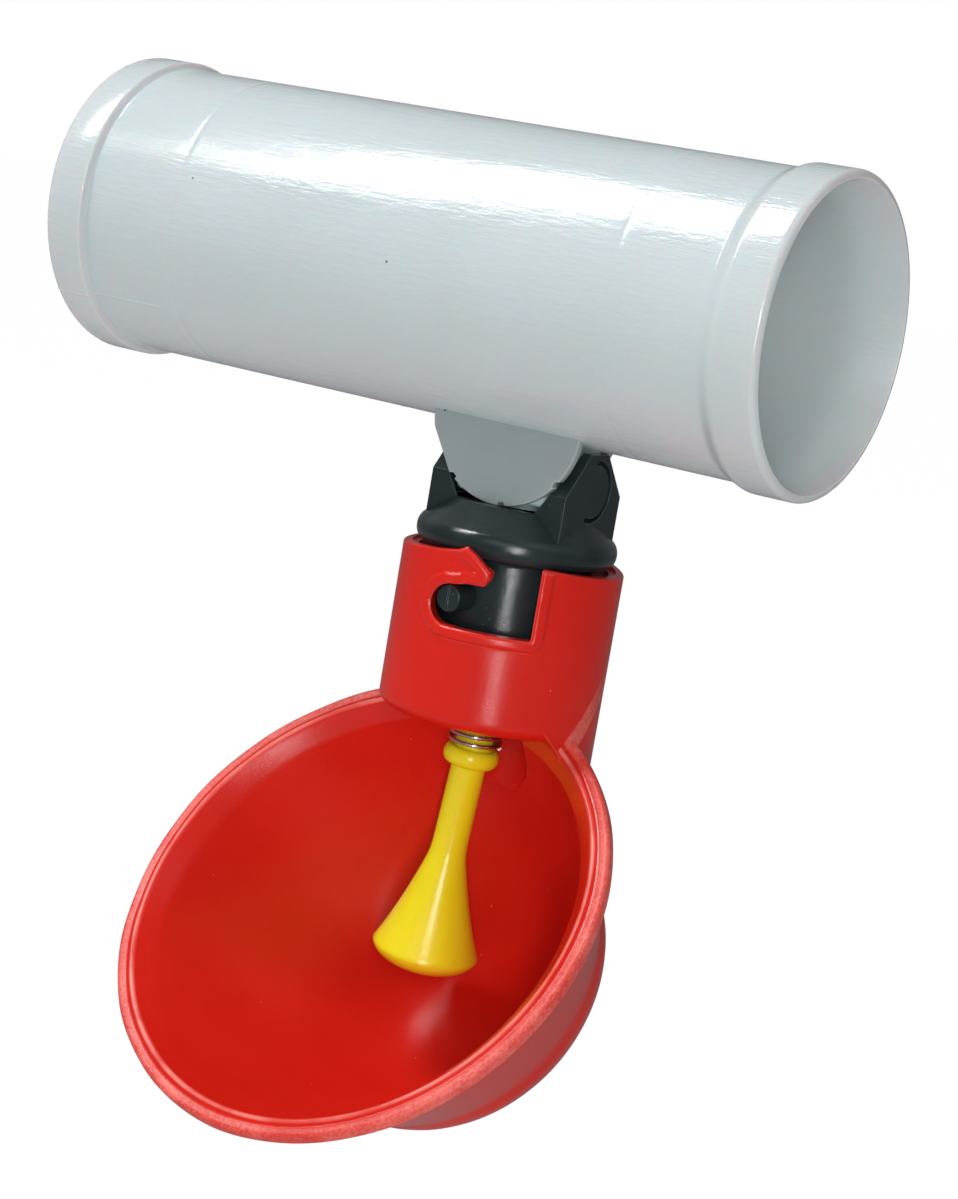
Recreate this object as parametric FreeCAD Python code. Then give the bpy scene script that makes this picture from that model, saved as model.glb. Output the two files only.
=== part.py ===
"""Poultry nipple drinker: a line tee, a clip-on valve body, a bayonet cup and a sprung trigger.

Millimetres. +X runs along the water line, +Z is up, and the bird drinks from the -Y side.
The origin is where the valve axis (Z) crosses the centreline of the tee.
"""
import FreeCAD, Part
import math
import os

V = FreeCAD.Vector

# ---- water line and tee ---------------------------------------------------------------
line_od = 25.0              # outside diameter of the water pipe that slides into the tee
socket_clearance = 0.1      # all round the pipe
tee_wall = 1.9
tee_left = 51.7             # from the valve axis to the left mouth
tee_right = 29.3            # from the valve axis to the right mouth
socket_depth = 16.0
stop_height = 1.0           # shoulder that stops the pipe inside the tee
bead_rise = 0.65            # band round each mouth
bead_length = 4.6
bead_blend = 1.6            # length of the soft step behind the right band
bead_step = 0.25            # length of the crisp step behind the left band
mouth_flare = 1.1           # lead-in, radially
mouth_flare_length = 3.4
mouth_round = 0.35

# ---- boss under the tee ---------------------------------------------------------------
cheek_r = 8.2               # round plate in front of the clip
rear_cheek_r = 6.2          # smaller plate behind it
cheek_sink = 1.55           # the plates' centre lies this far inside the barrel's bottom line
cheek_thick = 0.9
cheek_front = 5.5           # outer face of a plate, from the valve axis
cheek_flat = 7.87           # the left flank is cut straight at this distance from its centre
cheek_flat_deg = 31.6       # lean of that flank from upright
notch = 0.35                # witness nicks round the plates
core_half_x = 5.3
core_round = 0.5
nozzle_chamfer = 0.4
core_short = 0.6            # the core stops short of the plates' lowest point
nozzle_r = 3.7
nozzle_length = 4.3         # below the core
outlet_r = 1.9              # water way through the boss
oring_section = 1.5
oring_squeeze = 0.05        # left open between the ring and the two parts it seals

# ---- valve body -----------------------------------------------------------------------
block_half_x = 7.55
block_half_y = 5.1
ear_top = -14.9             # just under the barrel
gable_low = -19.05          # where an ear starts to narrow
gable_half = 1.6            # half width of an ear at its top
vee_floor_half = 4.4        # vee cut through the front and back walls
vee_knee_half = 6.0
vee_knee = -18.6
ear_tip_inside = 6.7
flange_top_r = 6.9
flange_top = -21.15
flange_r = 9.76
flange_bottom = -26.05
flange_shoulder_r = 9.0
flange_tuck = 0.25          # the rim's rounding starts this far inside the shoulder
block_sink = 3.05           # the block runs down this far inside the flange
spigot_r = 7.7
spigot_bottom = -40.3
nose_r = 4.7
nose_bottom = -41.8
spigot_chamfer = 0.5
nose_chamfer = 0.3
chamber_r = 4.6
web_top = -35.0
web_bottom = -37.0
port_r = 2.2
recess_r = 3.5              # pocket that takes the top of the spring
pin_r = 1.3
pin_reach = 10.6            # end of each bayonet pin, from the valve axis
pin_z = -30.0
pin_seam = 0.16             # mould line across the end of a pin
tongue_r = 2.8              # C-shaped slit that frees a round snap tongue in each ear
tongue_z = -18.5
tongue_slit = 0.45
tongue_open_deg = 120.0     # the slit stops short of a whole ring by this much
tongue_turn_deg = 10.0
core_gap = 0.25             # between the boss core and the block round it
cut_over = 1.0              # cutters run this far past the faces they cut
snap_r = 0.8
snap_gap = 0.12
tongue_back = 0.6           # outer skin left behind a snap bump

# ---- sealing plug, trigger and spring -------------------------------------------------
plug_r = 3.0
plug_gap = 0.08             # between the plug's ball face and its seat
plug_up = 1.3               # flat top and bottom of the plug, from its centre
plug_down = 2.55
plug_hole_r = 1.2
rock_gap = 0.2              # play that lets the stem rock in the plug
pin_neck_r = 0.9            # the stem where it goes through the plug
stem_r = 1.25
neck_r = 1.85
cap_r = 2.6
cap_height = 1.5
cap_slope = 0.3
bead_r = 2.75
bead_top = -45.6
bead_bottom = -47.4
trigger_stem_r = 1.72
flare_start = -56.6
cone_r = 5.3
cone_z = -66.7
trigger_bottom = -68.9
wire_d = 0.45
spring_od = 5.45
spring_half_turns = 8       # open half turns between the closed ends
closed_half_turns = 2
closed_pitch = 0.5
trigger_lean_deg = 4.2      # the trigger hangs a little to the left of upright
seat_gap = 0.03
spring_top_gap = 0.3        # the leaning spring clears its pocket by this much

# ---- cup ------------------------------------------------------------------------------
collar_r = 10.75
collar_wall = 1.45
collar_top = -26.35
collar_bottom = -42.2
collar_round = 1.0
floor_thick = 1.4
nose_clearance = 0.09
cup_facing_deg = -7.0       # the bowl looks a little to the left of straight ahead
rim_tilt_deg = 49.4         # rim plane from level
rim_back = 1.37             # the lip's highest point, behind the valve axis
rim_back_z = -39.7
rim_overhang = 1.35         # the lip stands out from the bowl under it
rim_height = 1.5
rim_thick = 1.9
rim_round = 0.45
rim_ridge = 0.35
rim_groove = 0.25
bowl_r = 24.0               # outside of the bowl just under the rim
bowl_wall = 1.4
bowl_taper = 6.7            # the flank narrows by this much down to the dome
bowl_knee = 16.3            # depth at which the straight flank turns into the dome
bowl_depth = 26.4
trim = 5.0                  # the bowl is turned this much too tall, then cut off at the rim
bowl_shift = 0.9            # middle of the bowl, up and back from the middle of the lip
bowl_lean_deg = 8.2         # the bowl's own axis leans up and back from square to the rim
slot_end = -5.15            # bayonet slot, measured across its own pull direction
slot_right = 4.95
slot_top = -28.55
slot_bottom = -32.6
slot_end_r = 2.02
hook_tip = -0.1
hook_tip_z = -27.25
hook_root = -2.2
slot_pull_deg = 18.85       # direction in which the slot's mould core is pulled
slot_frame = 1.0            # raised band round the slot
slot_frame_rise = 0.25

barrel_r = line_od / 2 + socket_clearance + tee_wall
socket_r = line_od / 2 + socket_clearance
bead_outer_r = barrel_r + bead_rise
collar_inner_r = collar_r - collar_wall
rim_r = bowl_r + rim_overhang
rim_reach = rim_r * math.cos(math.radians(rim_tilt_deg)) - rim_back
rim_z = rim_back_z - rim_r * math.sin(math.radians(rim_tilt_deg))
bowl_knee_r = bowl_r - bowl_taper
seat_offset = math.sqrt((plug_r + plug_gap) ** 2 - port_r ** 2)
plug_z = web_top + seat_offset
cheek_z = -(barrel_r - cheek_sink)
core_bottom = cheek_z - cheek_r + core_short
core_half_y = cheek_front - cheek_thick


def turned(points, axis=V(0, 0, 1)):
    """Solid turned about the valve axis (or X) from a closed (radius, height) outline of points."""
    if axis.z:
        wire = Part.makePolygon([V(r, 0, z) for r, z in points] + [V(points[0][0], 0, points[0][1])])
    else:
        wire = Part.makePolygon([V(x, 0, r) for r, x in points] + [V(points[0][1], 0, points[0][0])])
    return Part.Face(wire).revolve(V(0, 0, 0), axis, 360)


def upright(r, z0, z1):
    """Cylinder on the valve axis between two heights."""
    return Part.makeCylinder(r, abs(z1 - z0), V(0, 0, min(z0, z1)))


def prism(points, direction):
    """Closed outline of vectors, pushed along a direction."""
    return Part.Face(Part.makePolygon(points + [points[0]])).extrude(direction)


def centred_box(half_x, half_y, z0, z1):
    """Box centred on the valve axis between two heights."""
    return Part.makeBox(2 * half_x, 2 * half_y, abs(z1 - z0), V(-half_x, -half_y, min(z0, z1)))


def edges_where(shape, test):
    """Edges of a shape whose centre passes a test."""
    return [e for e in shape.Edges if test(e)]


# ---- tee ------------------------------------------------------------------------------
def s_blend(x0, r0, x1, r1, count=4):
    """Points of a soft step: the radius follows half a cosine wave from one end to the other."""
    steps = [i / count for i in range(count + 1)]
    return [(r0 + (r1 - r0) * (1 - math.cos(math.pi * s)) / 2, x0 + (x1 - x0) * s) for s in steps]


def tee_barrel():
    """Barrel with a banded socket at each end and a shoulder where each pipe stops."""
    stop_r = socket_r - stop_height
    outside = [(bead_outer_r - mouth_round, -tee_left), (bead_outer_r, -tee_left + mouth_round)]
    outside += s_blend(-tee_left + bead_length, bead_outer_r,
                       -tee_left + bead_length + bead_step, barrel_r, 2)
    outside += s_blend(tee_right - bead_length - bead_blend, barrel_r,
                       tee_right - bead_length, bead_outer_r)
    outside += [(bead_outer_r, tee_right - mouth_round), (bead_outer_r - mouth_round, tee_right)]
    inside = [(socket_r + mouth_flare, tee_right), (socket_r, tee_right - mouth_flare_length),
              (socket_r, tee_right - socket_depth), (stop_r, tee_right - socket_depth),
              (stop_r, -tee_left + socket_depth), (socket_r, -tee_left + socket_depth),
              (socket_r, -tee_left + mouth_flare_length), (socket_r + mouth_flare, -tee_left)]
    return turned(outside + inside, V(1, 0, 0))


def cheek(side, r):
    """Round plate under the barrel, cut straight on its left flank and nicked at its witness marks."""
    y0 = side * (cheek_front - cheek_thick)
    plate = Part.makeCylinder(r, cheek_thick, V(0, y0, cheek_z), V(0, side, 0))
    lean = math.radians(cheek_flat_deg)
    outward = V(-math.cos(lean), 0, -math.sin(lean))
    along = V(-math.sin(lean), 0, math.cos(lean)) * 2 * r
    corner = V(0, y0, cheek_z) + outward * cheek_flat - along / 2
    cut = prism([corner, corner + along, corner + along + outward * r, corner + outward * r],
                V(0, side * cheek_thick, 0))
    plate = plate.cut(cut)
    for degrees in (-45, -90, -135):
        a = math.radians(degrees)
        nick = V(r * math.cos(a), y0, cheek_z + r * math.sin(a))
        plate = plate.cut(Part.makeCylinder(notch, cheek_thick, nick, V(0, side, 0)))
    return plate


def tee():
    """Barrel, clip boss with its two plates, and the outlet nozzle, moulded as one."""
    inside_r = socket_r - stop_height
    core = centred_box(core_half_x, core_half_y, -inside_r, core_bottom)
    core = core.makeFillet(core_round, edges_where(core, lambda e: abs(e.CenterOfMass.z - core_bottom) < 0.01))
    nozzle_bottom = core_bottom - nozzle_length
    nozzle = upright(nozzle_r, -inside_r, nozzle_bottom)
    tip = edges_where(nozzle, lambda e: abs(e.CenterOfMass.z - nozzle_bottom) < 0.01 and len(e.Vertexes) == 1)
    nozzle = nozzle.makeChamfer(nozzle_chamfer, tip)
    boss = core.fuse([nozzle, cheek(-1, cheek_r), cheek(1, rear_cheek_r)])
    bore = Part.makeCylinder(socket_r, tee_left + tee_right, V(-tee_left, 0, 0), V(1, 0, 0))
    boss = boss.cut(bore)
    body = tee_barrel().fuse(boss)
    body = body.cut(upright(outlet_r, 0, nozzle_bottom - cut_over))
    groove_z = oring_height()
    groove = upright(nozzle_r + cut_over, groove_z - 0.6 * oring_section, groove_z + 0.6 * oring_section)
    groove_r = oring_inner_r() - oring_squeeze
    groove = groove.cut(upright(groove_r, groove_z - oring_section, groove_z + oring_section))
    body = body.cut(groove)
    for side in (-1, 1):
        body = body.cut(snap_bump(side, snap_r + snap_gap))
    return body.removeSplitter()


def oring_height():
    """Height of the seal ring: midway down the nozzle inside the valve body."""
    return core_bottom - 0.56 * nozzle_length


def oring_inner_r():
    """Inner radius of the seal ring, so that it just reaches the chamber wall."""
    return chamber_r - oring_squeeze - oring_section


def oring():
    """Round-section seal ring in the nozzle's groove."""
    section = ring_section(oring_inner_r() + oring_section / 2, oring_height(), oring_section / 2, 10)
    return section.revolve(V(0, 0, 0), V(0, 0, 1), 360)


# ---- valve body -----------------------------------------------------------------------
def snap_centre_x():
    """Snap bumps stand half proud of the boss's flank."""
    return core_half_x + 0.45 * snap_r


def snap_bump(side, r):
    """Blunt cone that stands in from a snap tongue towards the boss; grown, it is its dimple."""
    tip = V(side * (snap_centre_x() - r), 0, tongue_z)
    cone = Part.makeCone(r / 2, r, r, tip, V(side, 0, 0))
    root = Part.makeCylinder(r, block_half_x - tongue_back - snap_centre_x(),
                             V(side * snap_centre_x(), 0, tongue_z), V(side, 0, 0))
    return cone.fuse(root)


def clip_block():
    """Square saddle: gabled ears on the X sides, a vee through the front and back walls."""
    root = flange_top - block_sink
    gable = [(-block_half_y, root), (-block_half_y, gable_low), (-gable_half, ear_top),
             (gable_half, ear_top), (block_half_y, gable_low), (block_half_y, root)]
    block = prism([V(-block_half_x, y, z) for y, z in gable], V(2 * block_half_x, 0, 0))
    y0 = -2 * block_half_y
    vee = [V(-vee_floor_half, y0, flange_top), V(-vee_knee_half, y0, vee_knee),
           V(-ear_tip_inside, y0, ear_top + cut_over), V(ear_tip_inside, y0, ear_top + cut_over),
           V(vee_knee_half, y0, vee_knee), V(vee_floor_half, y0, flange_top)]
    return block.cut(prism(vee, V(0, 4 * block_half_y, 0)))


def rim_arc(count=5):
    """Rounded rim of the flange, from its conical top round to its underside."""
    centre_r = flange_shoulder_r - flange_tuck
    shoulder = flange_top - (flange_shoulder_r - flange_top_r)
    half_z = (shoulder - flange_bottom) / 2
    centre_z = shoulder - half_z
    half_r = flange_r - centre_r
    angles = [math.radians(70 - 130 * i / (count - 1)) for i in range(count)]
    return [(centre_r + half_r * math.cos(a), centre_z + half_z * math.sin(a)) for a in angles]


def valve_barrel():
    """Conical flange, spigot and nose, with the sealing chamber, the port and the spring pocket."""
    outline = [(0, flange_top), (flange_top_r, flange_top),
               (flange_shoulder_r, flange_top - (flange_shoulder_r - flange_top_r))]
    outline += rim_arc()
    outline += [(flange_shoulder_r, flange_bottom), (spigot_r, flange_bottom),
                (spigot_r, spigot_bottom + spigot_chamfer), (spigot_r - spigot_chamfer, spigot_bottom),
                (nose_r, spigot_bottom), (nose_r, nose_bottom + nose_chamfer),
                (nose_r - nose_chamfer, nose_bottom), (0, nose_bottom)]
    return turned(outline)


def snap_tongue_slit(side):
    """C-shaped slit through an ear, leaving its tongue joined towards the front and top."""
    start = V(side * vee_floor_half, 0, tongue_z)
    through = block_half_x - vee_floor_half + cut_over
    ring = Part.makeCylinder(tongue_r + tongue_slit / 2, through, start, V(side, 0, 0))
    ring = ring.cut(Part.makeCylinder(tongue_r - tongue_slit / 2, through, start, V(side, 0, 0)))
    reach = 2 * tongue_r
    corners = [V(0, 0, 0)]
    for degrees in (-tongue_open_deg / 2, 0, tongue_open_deg / 2):
        a = math.radians(180 - tongue_turn_deg + degrees)
        corners.append(V(0, reach * math.cos(a), reach * math.sin(a)))
    wedge = prism([start + corner for corner in corners], V(side * through, 0, 0))
    return ring.cut(wedge)


def valve_body():
    """Clip block, flange, spigot, bayonet pins and valve chamber, moulded as one."""
    body = valve_barrel().fuse(clip_block())
    body = body.cut(upright(chamber_r, ear_top, web_top))
    body = body.cut(centred_box(core_half_x + core_gap, core_half_y + core_gap, flange_top, ear_top + cut_over))
    body = body.cut(upright(port_r, web_top + cut_over, web_bottom - cut_over))
    body = body.cut(Part.makeSphere(plug_r + plug_gap, V(0, 0, plug_z)))
    body = body.cut(upright(recess_r, web_bottom, nose_bottom - cut_over))
    for side in (-1, 1):
        root = (chamber_r + spigot_r) / 2
        pin = Part.makeCylinder(pin_r, pin_reach - root, V(0, side * root, pin_z), V(0, side, 0))
        seam = Part.makeBox(pin_seam, 2 * pin_seam, 2 * pin_r,
                            V(-pin_seam / 2, side * pin_reach - pin_seam, pin_z - pin_r))
        body = body.fuse(pin).cut(seam)
        body = body.cut(snap_tongue_slit(side))
        body = body.fuse(snap_bump(side, snap_r))
    return body.removeSplitter()


# ---- plug, cap, trigger, spring -------------------------------------------------------
def leaning(shape):
    """A piece of the trigger assembly, leaned about the middle of the plug."""
    shape.rotate(V(0, 0, plug_z), V(0, 1, 0), trigger_lean_deg)
    return shape


def valve_plug():
    """Rubber plug with a ball face that closes the port."""
    ball = Part.makeSphere(plug_r, V(0, 0, plug_z))
    band = upright(plug_r + 1, plug_z - plug_down, plug_z + plug_up)
    return ball.common(band).cut(upright(plug_hole_r, plug_z - plug_r, plug_z + plug_r))


def stem_cap():
    """Retaining cap pressed on the top of the trigger's stem; its underside rises outwards."""
    low = plug_z + plug_up + rock_gap
    outline = [(pin_neck_r, low), (cap_r, low + cap_slope), (cap_r, low + cap_height - 0.4),
               (cap_r - 0.4, low + cap_height), (pin_neck_r, low + cap_height)]
    return leaning(turned(outline))


def flare(count=5):
    """Outline of the bell: the radius follows a hollow curve from the stem to the widest point."""
    steps = [i / count for i in range(1, count + 1)]
    return [(trigger_stem_r + (cone_r - trigger_stem_r) * (0.82 * s + 0.18 * s ** 3),
             flare_start + (cone_z - flare_start) * s) for s in steps]


def bell_bottom(count=4):
    """Rounded underside of the bell, a quarter of an ellipse."""
    angles = [math.radians(90 * i / count) for i in range(1, count + 1)]
    return [(cone_r * math.cos(a), cone_z + (trigger_bottom - cone_z) * math.sin(a)) for a in angles]


def bead_round(count=4):
    """Rolled edge of the spring bead, half an ellipse."""
    middle = (bead_top + bead_bottom) / 2
    half = (bead_top - bead_bottom) / 2
    angles = [math.radians(90 - 180 * i / count) for i in range(count + 1)]
    return [(bead_r - 0.55 + 0.55 * math.cos(a), middle + half * math.sin(a)) for a in angles]


def trigger():
    """Trigger: stem through the valve, spring bead and drinking bell in one moulding."""
    shoulder = plug_z - plug_down - rock_gap
    cap_top = plug_z + plug_up + rock_gap + cap_height
    outline = [(0, cap_top), (pin_neck_r, cap_top), (pin_neck_r, shoulder), (stem_r, shoulder),
               (stem_r, nose_bottom + 0.8), (neck_r, nose_bottom - 0.2), (neck_r, bead_top)]
    outline += bead_round()
    outline += [(trigger_stem_r, bead_bottom), (trigger_stem_r, flare_start)]
    outline += flare()
    outline += bell_bottom()
    return leaning(turned(outline))


def ring_section(x, z, r, sides=6):
    """Flat-sided section of a round wire or ring, in the XZ plane."""
    turn = math.pi / sides
    points = [V(x + r * math.cos(turn + 2 * turn * i), 0, z + r * math.sin(turn + 2 * turn * i))
              for i in range(sides)]
    return Part.Face(Part.makePolygon(points + [points[0]]))


def half_turn(start_x, z, rise):
    """Half a turn of wire from one side of the axis to the other: half a ring, tilted to rise."""
    axis = V(rise / 2, 0, start_x) * math.copysign(1, start_x)
    return ring_section(start_x, z, wire_d / 2).revolve(V(0, 0, z + rise / 2), axis, 180)


def return_spring():
    """Compression spring: half turns laid end to end, closed at both ends and open between."""
    mean_r = (spring_od - wire_d) / 2
    low = bead_top + seat_gap + wire_d / 2
    high = web_bottom - spring_top_gap - wire_d / 2
    closed = [closed_pitch / 2] * closed_half_turns
    open_rise = (high - low - 2 * sum(closed)) / spring_half_turns
    rises = closed + [open_rise] * spring_half_turns + closed
    pieces = []
    for i, rise in enumerate(rises):
        start_x = mean_r if i % 2 == 0 else -mean_r
        pieces.append(half_turn(start_x, low + sum(rises[:i]), rise))
    return leaning(pieces[0].fuse(pieces[1:]).removeSplitter())


# ---- cup ------------------------------------------------------------------------------
def in_rim_frame(shape):
    """Take a shape from the rim's own frame (+Z out of the bowl) to its place under the valve."""
    tilt = FreeCAD.Placement(V(0, -rim_reach, rim_z), FreeCAD.Rotation(V(1, 0, 0), rim_tilt_deg))
    shape.Placement = tilt.multiply(shape.Placement)
    shape.rotate(V(0, 0, 0), V(0, 0, 1), cup_facing_deg)
    return shape


def bowl_form(inset, count=6):
    """Bowl as a solid moved in by a wall: straight flank, domed end, cut off level with the rim."""
    knee_r = bowl_knee_r - inset
    drop = bowl_depth - inset - bowl_knee
    slope = bowl_taper / bowl_knee
    angles = [math.radians(90 * i / count) for i in range(count + 1)]
    outline = [(knee_r * math.sin(a), -bowl_knee - drop * math.cos(a)) for a in angles]
    outline += [(knee_r + slope * (bowl_knee + trim), trim), (0, trim)]
    form = turned(outline)
    form.rotate(V(0, 0, 0), V(1, 0, 0), bowl_lean_deg)
    form.translate(V(0, bowl_shift, 0))
    return form.cut(Part.makeBox(4 * rim_r, 4 * rim_r, 4 * trim, V(-2 * rim_r, -2 * rim_r, 0)))


def bowl_outside():
    """Outer form of the bowl, in place."""
    return in_rim_frame(bowl_form(0))


def bowl_cavity():
    """Inside of the bowl, carried straight up out of its mouth, in place."""
    mouth = Part.makeCylinder(bowl_r - bowl_wall, 2 * bowl_r, V(0, 0, -seat_gap))
    return in_rim_frame(bowl_form(bowl_wall).fuse(mouth))


def rim_ring():
    """Rolled lip: an outer bead, a shallow groove and an inner ridge."""
    inner = rim_r - rim_thick
    outline = [(inner, -rim_height), (rim_r, -rim_height), (rim_r, -rim_round), (rim_r - rim_round, 0),
               (inner + rim_ridge, -rim_groove), (inner, 0), (inner - rim_ridge, -rim_round)]
    return in_rim_frame(turned(outline))


def across_pull(s, z, depth):
    """Point at a place across and along the slot's pull direction, in front of the valve axis."""
    a = math.radians(slot_pull_deg)
    return V(s * math.cos(a) + depth * math.sin(a), s * math.sin(a) - depth * math.cos(a), z)


def slot_outline(grow):
    """Outline of the J-shaped bayonet slot, widened all round by some margin."""
    mid_z = slot_top - slot_end_r
    end = [(slot_end + slot_end_r - (slot_end_r + grow) * math.cos(math.radians(a)),
            mid_z + (slot_end_r + grow) * math.sin(math.radians(a))) for a in range(-80, 91, 17)]
    hook = [(hook_tip - 0.5, slot_top + grow), (hook_tip, hook_tip_z - 0.6 + 0.3 * grow),
            (hook_tip + 0.15, hook_tip_z), (hook_tip - 0.2, hook_tip_z + 0.45 + 0.3 * grow)]
    top = [(hook_root + 0.3, collar_top + 0.2 + grow), (hook_root, collar_top + cut_over),
           (slot_right + grow, collar_top + cut_over)]
    low = [(slot_right + grow, slot_bottom - grow), (slot_end + 1.45 * slot_end_r, slot_bottom - grow)]
    return end + hook + top + low


def slot_cutter(grow):
    """Slot outline pushed through one side of the collar."""
    points = [across_pull(s, z, collar_inner_r / 2) for s, z in slot_outline(grow)]
    return prism(points, across_pull(0, 0, collar_r))


def both_sides(shape):
    """A shape and its copy half a turn round the valve axis."""
    other = shape.copy()
    other.rotate(V(0, 0, 0), V(0, 0, 1), 180)
    return [shape, other]


def slot_frames():
    """Raised bands round the two bayonet slots."""
    sleeve = upright(collar_r + slot_frame_rise, collar_top, collar_bottom + collar_round)
    return [sleeve.common(frame) for frame in both_sides(slot_cutter(slot_frame))]


def cup():
    """Collar and bowl in one moulding: the collar's tube runs on down the back of the bowl."""
    shell = bowl_outside().fuse([rim_ring(), upright(collar_r, collar_top, rim_z)])
    shell = shell.cut(bowl_cavity())
    neck = upright(collar_r, collar_top, collar_bottom)
    neck = neck.makeChamfer(collar_round, edges_where(neck, lambda e: len(e.Vertexes) == 1
                                                      and abs(e.CenterOfMass.z - collar_bottom) < 0.01))
    shell = shell.fuse([neck] + slot_frames())
    socket = upright(collar_inner_r, collar_top + cut_over, collar_bottom + floor_thick)
    hole = upright(nose_r + nose_clearance, collar_top, rim_z)
    shell = shell.cut([socket, hole] + both_sides(slot_cutter(0)))
    return shell.removeSplitter()


PARTS = {
    "tee": tee,
    "nozzle_oring": oring,
    "valve_body": valve_body,
    "valve_plug": valve_plug,
    "stem_cap": stem_cap,
    "trigger": trigger,
    "return_spring": return_spring,
    "cup": cup,
}

os.makedirs("parts", exist_ok=True)
for name, make in PARTS.items():
    solid = make()
    solid.exportStep("parts/" + name + ".step")
    print(name, len(solid.Solids), "solid(s)", round(solid.Volume, 1), "mm3", solid.isValid())
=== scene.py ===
"""Looks of a poultry nipple drinker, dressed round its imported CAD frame.

Shapes are worked out in millimetres in the part's own frame, and the meshes hold metres.
+X runs along the water line, +Z is up, and the bowl faces -Y. The origin is where the valve's
upright axis crosses the centreline of the tee.
"""
import math
import bmesh
import bpy
import numpy as np
from mathutils import Matrix, Vector

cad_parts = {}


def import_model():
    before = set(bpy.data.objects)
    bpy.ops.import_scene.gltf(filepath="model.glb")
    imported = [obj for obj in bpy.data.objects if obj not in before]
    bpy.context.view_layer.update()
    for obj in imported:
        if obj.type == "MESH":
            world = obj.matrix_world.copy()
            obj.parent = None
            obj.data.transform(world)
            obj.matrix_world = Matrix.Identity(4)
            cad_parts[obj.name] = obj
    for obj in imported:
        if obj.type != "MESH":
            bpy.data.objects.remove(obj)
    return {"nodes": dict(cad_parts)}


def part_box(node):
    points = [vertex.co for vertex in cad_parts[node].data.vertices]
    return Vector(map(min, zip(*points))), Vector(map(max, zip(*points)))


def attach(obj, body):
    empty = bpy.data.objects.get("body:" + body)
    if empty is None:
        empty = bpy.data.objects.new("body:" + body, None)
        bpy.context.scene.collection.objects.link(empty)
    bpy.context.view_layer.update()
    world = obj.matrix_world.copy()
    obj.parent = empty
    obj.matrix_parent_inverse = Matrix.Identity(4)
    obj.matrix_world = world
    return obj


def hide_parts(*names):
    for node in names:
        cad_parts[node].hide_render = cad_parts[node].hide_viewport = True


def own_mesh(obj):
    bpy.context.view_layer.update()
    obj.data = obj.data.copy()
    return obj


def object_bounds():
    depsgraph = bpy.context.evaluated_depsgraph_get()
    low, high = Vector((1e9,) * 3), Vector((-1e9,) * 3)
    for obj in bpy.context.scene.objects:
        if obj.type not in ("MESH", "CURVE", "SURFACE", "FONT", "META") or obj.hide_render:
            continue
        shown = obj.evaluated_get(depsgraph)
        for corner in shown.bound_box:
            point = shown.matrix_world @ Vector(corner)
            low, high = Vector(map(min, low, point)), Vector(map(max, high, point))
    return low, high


MM = 0.001
TURN = 2 * math.pi
FAR = 99                            # further than any outline reaches

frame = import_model()
CAD_LOW, CAD_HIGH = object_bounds()


def in_mm(node):
    """Lowest and highest corner of a CAD node, in millimetres."""
    return [np.array(corner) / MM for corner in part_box(node)]


# ---- sizes, in millimetres ------------------------------------------------------------
TEE_LOW, TEE_HIGH = in_mm("tee")
TEE_LEFT, TEE_RIGHT, BAND_R = TEE_LOW[0], TEE_HIGH[0], TEE_HIGH[2]
BAND_RISE = 0.65
BARREL_R = BAND_R - BAND_RISE
SOCKET_R = 12.6
STOP_R = 11.6
SOCKET_DEPTH = 16.0
BAND_LENGTH = 4.6
MOUTH_FLARE = 1.75
MOUTH_FLARE_LENGTH = 4.2
MOUTH_ROUND = 0.7
SEAM_TURN = math.radians(-39)       # mould line of the left socket, from straight ahead
SEAM_RISE = 0.07
SEAM_HALF = 0.09
SINK = 0.03                         # sink line over each pipe stop

CHEEK_Z = -12.95                    # centre of the round plates under the barrel
CHEEK_R = 8.2
REAR_CHEEK_R = 6.2
CHEEK_THICK = 0.9
CHEEK_FRONT = 5.5
CHEEK_FLAT = 7.87
CHEEK_FLAT_LEAN = math.radians(31.6)
CHEEK_HUB_Z = -15.6                 # point inside the plate that its outline is told from
CHEEK_ROOF_Z = -12.2
CHEEK_ROUND = 0.14
NICK_DEGREES = (-128, -84, -38)
NICK_DEPTH = 0.32
NICK_HALF = 0.28
CORE_HALF = (5.3, 4.6)
CORE_TOP = -13.3
CORE_BOTTOM = -20.55
NOZZLE_R = 3.7
NOZZLE_BOTTOM = -24.85
NOZZLE_BORE_R = 1.9
NOZZLE_BORE_TOP = -14.5

BLOCK_HALF_X = 7.55
BLOCK_HALF_Y = 5.1
POCKET_HALF = (5.55, 4.85)
EAR_TOP = -14.9
GABLE_LOW = -19.05
GABLE_HALF = 1.6
BLOCK_ROOT = -24.2
FLANGE_TOP = -21.15
FLANGE_TOP_R = 6.9
SHOULDER_R = 9.0
FLANGE_BOTTOM = -26.05
SPIGOT_R = 7.7
SPIGOT_BOTTOM = -40.3
NOSE_R = 4.7
NOSE_BOTTOM = -41.8
CHAMBER_R = 4.6
WEB_TOP = -35.0
WEB_BOTTOM = -37.0
PORT_R = 2.2
RECESS_R = 3.5
PIN_R = 1.3
PIN_Z = -30.0
PIN_REACH = 10.6
PIN_LINE_DEPTH = 0.16               # mould line across each pin's end
PIN_LINE_HALF = 0.075
TONGUE_Z = -18.5
TONGUE_R = 2.8
SLIT_HALF = 0.24                    # half the width of the C slit round each tongue

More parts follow.
